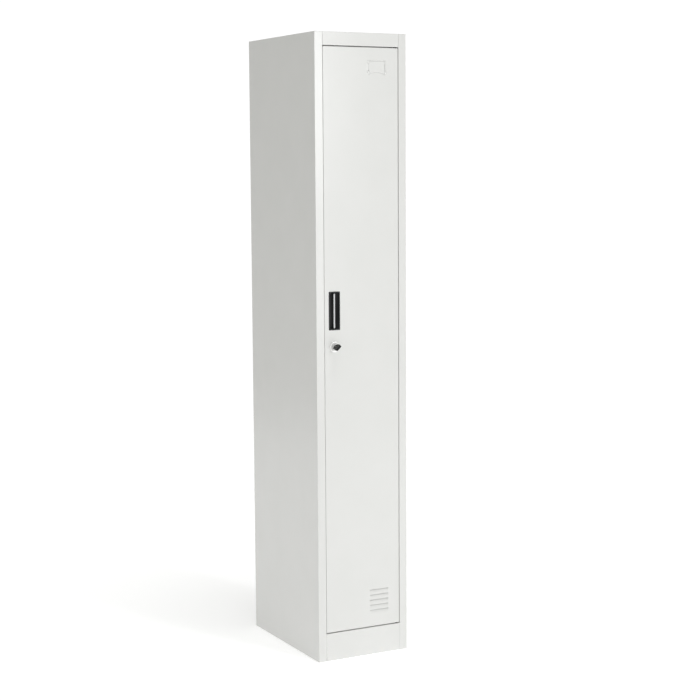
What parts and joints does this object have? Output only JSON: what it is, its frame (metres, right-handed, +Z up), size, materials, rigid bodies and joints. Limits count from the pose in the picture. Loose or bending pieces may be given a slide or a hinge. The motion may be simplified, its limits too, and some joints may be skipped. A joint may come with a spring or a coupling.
{
  "type": "locker cabinet",
  "caption": "Slim floor-standing sheet-steel locker with a hinged door, recessed pull, cam lock with folding key, hat shelf and coat rail.",
  "frame": {"origin": "centre of the footprint on the floor, which is the centre of the four floor-fixing holes", "axes": "+Z up along the locker's height, +X to the viewer's right across its width, +Y from the door to the back"},
  "size_m": [0.3, 0.4796, 1.85],
  "materials": {
    "body_paint": "off-white powder coat, satin with fine orange peel",
    "handle_black": "black moulded plastic, satin",
    "grip_black": "black moulded plastic, polished",
    "strip_silver": "satin silver trim",
    "lock_chrome": "polished chrome plate",
    "zinc_steel": "bright zinc plate",
    "rivet_aluminium": "plain",
    "rail_chrome": "bright plated tube",
    "bush_nylon": "black glass-filled nylon",
    "buffer_rubber": "soft black rubber",
    "key_steel": "nickel-plated steel",
    "key_black": "black moulded plastic, slight gloss"
  },
  "bodies": {
    "cabinet": {"side_panel_left": "body_paint", "side_panel_right": "body_paint", "back_panel": "body_paint", "top_panel": "body_paint", "bottom_panel": "body_paint", "plinth": "body_paint", "back_panel_rivets": "rivet_aluminium", "hat_shelf": "body_paint", "shelf_support_left": "body_paint", "shelf_support_right": "body_paint", "rail_bracket_left": "body_paint", "rail_bracket_right": "body_paint", "rail_bracket_rivets": "rivet_aluminium", "coat_rail": "rail_chrome", "door_buffers": "buffer_rubber", "pivot_pin_top": "zinc_steel", "pivot_pin_bottom": "zinc_steel"},
    "door": {"door_panel": "body_paint", "door_stiffener": "body_paint", "pivot_bush_top": "bush_nylon", "pivot_bush_bottom": "bush_nylon", "handle_cup": "handle_black", "handle_grip": "grip_black", "handle_strip": "strip_silver", "handle_clips": "zinc_steel", "lock_housing": "lock_chrome", "lock_nut": "zinc_steel"},
    "lock": {"lock_cylinder": "lock_chrome", "lock_cam": "zinc_steel", "cam_washer": "zinc_steel", "cam_screw": "zinc_steel"},
    "key": {"key_blade": "key_steel"},
    "key_head": {"key_head_lower": "key_black", "key_head_upper": "key_black", "key_fold_pin": "key_steel"}
  },
  "joints": [
    {"name": "door_swing", "type": "hinge", "parent": "cabinet", "child": "door", "pos_m": [0.115, -0.22, 0.9475], "axis": [0, 0, 1], "range_deg": [0, 115]},
    {"name": "lock_turn", "type": "hinge", "parent": "door", "child": "lock", "pos_m": [-0.092, -0.215, 0.942], "axis": [0, 1, 0], "range_deg": [0, 90]},
    {"name": "key_slide", "type": "slide", "parent": "lock", "child": "key", "axis": [0, -1, 0], "range_m": [0, 0.028]},
    {"name": "key_fold", "type": "hinge", "parent": "key", "child": "key_head", "pos_m": [-0.092, -0.2379, 0.942], "axis": [-0.7071, 0, 0.7071], "range_deg": [-90, 90]}
  ]
}
